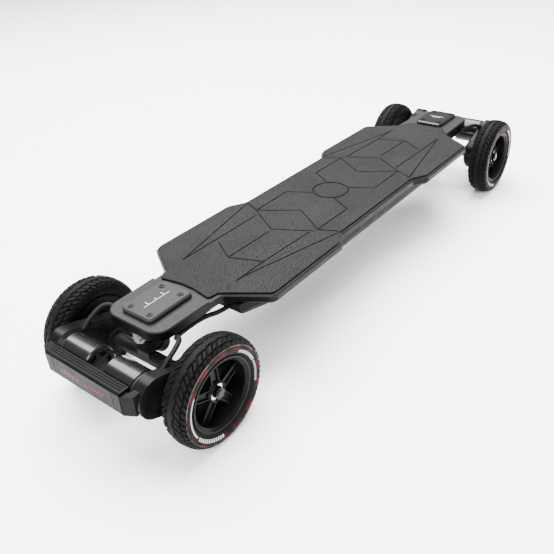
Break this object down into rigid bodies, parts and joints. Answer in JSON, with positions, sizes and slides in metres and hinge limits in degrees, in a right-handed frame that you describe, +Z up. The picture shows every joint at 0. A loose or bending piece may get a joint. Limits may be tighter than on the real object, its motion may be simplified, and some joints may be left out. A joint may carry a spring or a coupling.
{
  "type": "electric skateboard",
  "caption": "Electric skateboard with a long winged deck, foam grip pad, double-kingpin trucks, geared motors beyond the axles, air tyres and a rear guard.",
  "frame": {"origin": "on the floor, under the middle of the board's whole length", "axes": "+X towards the front of the board, +Y to its left, +Z up"},
  "size_m": [1.2434, 0.318, 0.1755],
  "materials": {
    "deck_shell": "satin, dark composite skin",
    "grip": "matte grit",
    "enclosure_plastic": "matte",
    "cell_wrap": "satin wrap",
    "controller_metal": "anodised",
    "black_plastic": "matte",
    "soft_rubber": "matte",
    "bolt_black": "black oxide",
    "cover_grey": "satin",
    "cover_black": "gloss",
    "cast_black": "satin",
    "steel": "zinc plated",
    "bushing": "matte",
    "cable_sleeve": "braided sleeve",
    "button_metal": "satin",
    "case_black": "satin",
    "stator": "laminated",
    "bumper_black": "satin",
    "tyre": "matte",
    "rim_black": "black anodised",
    "gear_steel": "machined",
    "bearing_steel": "polished",
    "motor_black": "gloss"
  },
  "bodies": {
    "deck": {"deck": "deck_shell", "grip_pad": "grip", "enclosure": "enclosure_plastic", "enclosure_screws": "bolt_black", "battery_cells": "cell_wrap", "motor_controller": "controller_metal", "charge_port": "black_plastic", "front_cover": "cover_black", "rear_cover": "cover_grey", "truck_bolts": "bolt_black", "front_baseplate": "cast_black", "rear_baseplate": "cast_black", "deck_kingpins": "steel", "deck_bushings": "bushing", "front_motor_cables": "cable_sleeve", "rear_motor_cables": "cable_sleeve"},
    "power_button": {"power_button": "button_metal"},
    "charge_port_cap": {"charge_port_cap": "soft_rubber"},
    "front_link": {"front_link": "cast_black", "front_link_kingpin": "steel", "front_link_bushings": "bushing"},
    "front_hanger": {"front_hanger": "cast_black", "front_axle": "steel", "front_gear_cases": "case_black", "front_gear_covers": "case_black", "front_motor_stators": "stator"},
    "front_left_wheel": {"front_left_tyre": "tyre", "front_left_rim": "rim_black", "front_left_wheel_gear": "gear_steel", "front_left_wheel_bearings": "bearing_steel"},
    "front_left_motor": {"front_left_motor_rotor": "motor_black"},
    "front_left_idler": {"front_left_idler_gear": "gear_steel"},
    "front_right_wheel": {"front_right_tyre": "tyre", "front_right_rim": "rim_black", "front_right_wheel_gear": "gear_steel", "front_right_wheel_bearings": "bearing_steel"},
    "front_right_motor": {"front_right_motor_rotor": "motor_black"},
    "front_right_idler": {"front_right_idler_gear": "gear_steel"},
    "rear_link": {"rear_link": "cast_black", "rear_link_kingpin": "steel", "rear_link_bushings": "bushing"},
    "rear_hanger": {"rear_hanger": "cast_black", "rear_axle": "steel", "rear_gear_cases": "case_black", "rear_gear_covers": "case_black", "rear_motor_stators": "stator", "rear_bumper": "bumper_black"},
    "rear_left_wheel": {"rear_left_tyre": "tyre", "rear_left_rim": "rim_black", "rear_left_wheel_gear": "gear_steel", "rear_left_wheel_bearings": "bearing_steel"},
    "rear_left_motor": {"rear_left_motor_rotor": "motor_black"},
    "rear_left_idler": {"rear_left_idler_gear": "gear_steel"},
    "rear_right_wheel": {"rear_right_tyre": "tyre", "rear_right_rim": "rim_black", "rear_right_wheel_gear": "gear_steel", "rear_right_wheel_bearings": "bearing_steel"},
    "rear_right_motor": {"rear_right_motor_rotor": "motor_black"},
    "rear_right_idler": {"rear_right_idler_gear": "gear_steel"}
  },
  "joints": [
    {"name": "front_link_turn", "type": "hinge", "parent": "deck", "child": "front_link", "pos_m": [0.46125, 0, 0.12], "axis": [0.5736, 0, 0.8192], "range_deg": [-9, 9], "stiffness_Nm_per_rad": 60, "deforming": ["front_motor_cables"]},
    {"name": "front_hanger_turn", "type": "hinge", "parent": "front_link", "child": "front_hanger", "pos_m": [0.49587, 0, 0.10588], "axis": [0.7071, 0, 0.7071], "range_deg": [-9, 9], "stiffness_Nm_per_rad": 60},
    {"name": "front_left_wheel_spin", "type": "hinge", "parent": "front_hanger", "child": "front_left_wheel", "pos_m": [0.51425, 0, 0.0875], "axis": [0, 1, 0], "continuous": true},
    {"name": "front_left_motor_spin", "type": "hinge", "parent": "front_hanger", "child": "front_left_motor", "pos_m": [0.58925, 0, 0.1145], "axis": [0, 1, 0], "continuous": true},
    {"name": "front_left_idler_spin", "type": "hinge", "parent": "front_hanger", "child": "front_left_idler", "pos_m": [0.56414, 0, 0.09808], "axis": [0, 1, 0], "continuous": true},
    {"name": "front_right_wheel_spin", "type": "hinge", "parent": "front_hanger", "child": "front_right_wheel", "pos_m": [0.51425, 0, 0.0875], "axis": [0, 1, 0], "continuous": true},
    {"name": "front_right_motor_spin", "type": "hinge", "parent": "front_hanger", "child": "front_right_motor", "pos_m": [0.58925, 0, 0.1145], "axis": [0, 1, 0], "continuous": true},
    {"name": "front_right_idler_spin", "type": "hinge", "parent": "front_hanger", "child": "front_right_idler", "pos_m": [0.56414, 0, 0.09808], "axis": [0, 1, 0], "continuous": true},
    {"name": "rear_link_turn", "type": "hinge", "parent": "deck", "child": "rear_link", "pos_m": [-0.44875, 0, 0.12], "axis": [-0.5736, 0, 0.8192], "range_deg": [-9, 9], "stiffness_Nm_per_rad": 60, "deforming": ["rear_motor_cables"]},
    {"name": "rear_hanger_turn", "type": "hinge", "parent": "rear_link", "child": "rear_hanger", "pos_m": [-0.48337, 0, 0.10588], "axis": [-0.7071, 0, 0.7071], "range_deg": [-9, 9], "stiffness_Nm_per_rad": 60},
    {"name": "rear_left_wheel_spin", "type": "hinge", "parent": "rear_hanger", "child": "rear_left_wheel", "pos_m": [-0.50175, 0, 0.0875], "axis": [0, 1, 0], "continuous": true},
    {"name": "rear_left_motor_spin", "type": "hinge", "parent": "rear_hanger", "child": "rear_left_motor", "pos_m": [-0.57675, 0, 0.1145], "axis": [0, 1, 0], "continuous": true},
    {"name": "rear_left_idler_spin", "type": "hinge", "parent": "rear_hanger", "child": "rear_left_idler", "pos_m": [-0.55164, 0, 0.09808], "axis": [0, 1, 0], "continuous": true},
    {"name": "rear_right_wheel_spin", "type": "hinge", "parent": "rear_hanger", "child": "rear_right_wheel", "pos_m": [-0.50175, 0, 0.0875], "axis": [0, 1, 0], "continuous": true},
    {"name": "rear_right_motor_spin", "type": "hinge", "parent": "rear_hanger", "child": "rear_right_motor", "pos_m": [-0.57675, 0, 0.1145], "axis": [0, 1, 0], "continuous": true},
    {"name": "rear_right_idler_spin", "type": "hinge", "parent": "rear_hanger", "child": "rear_right_idler", "pos_m": [-0.55164, 0, 0.09808], "axis": [0, 1, 0], "continuous": true},
    {"name": "power_button_press", "type": "slide", "parent": "deck", "child": "power_button", "axis": [0, 1, 0], "range_m": [0, 0.0012], "stiffness_N_per_m": 700},
    {"name": "charge_port_cap_hinge", "type": "hinge", "parent": "deck", "child": "charge_port_cap", "pos_m": [-0.19875, -0.1062, 0.1286], "axis": [1, 0, 0], "range_deg": [0, 110]}
  ],
  "couplings": [
    {"joint": "front_left_motor_spin", "follows": "front_left_wheel_spin", "ratio": 3},
    {"joint": "front_left_idler_spin", "follows": "front_left_wheel_spin", "ratio": -1.6154},
    {"joint": "front_right_motor_spin", "follows": "front_right_wheel_spin", "ratio": 3},
    {"joint": "front_right_idler_spin", "follows": "front_right_wheel_spin", "ratio": -1.6154},
    {"joint": "rear_left_motor_spin", "follows": "rear_left_wheel_spin", "ratio": 3},
    {"joint": "rear_left_idler_spin", "follows": "rear_left_wheel_spin", "ratio": -1.6154},
    {"joint": "rear_right_motor_spin", "follows": "rear_right_wheel_spin", "ratio": 3},
    {"joint": "rear_right_idler_spin", "follows": "rear_right_wheel_spin", "ratio": -1.6154}
  ]
}
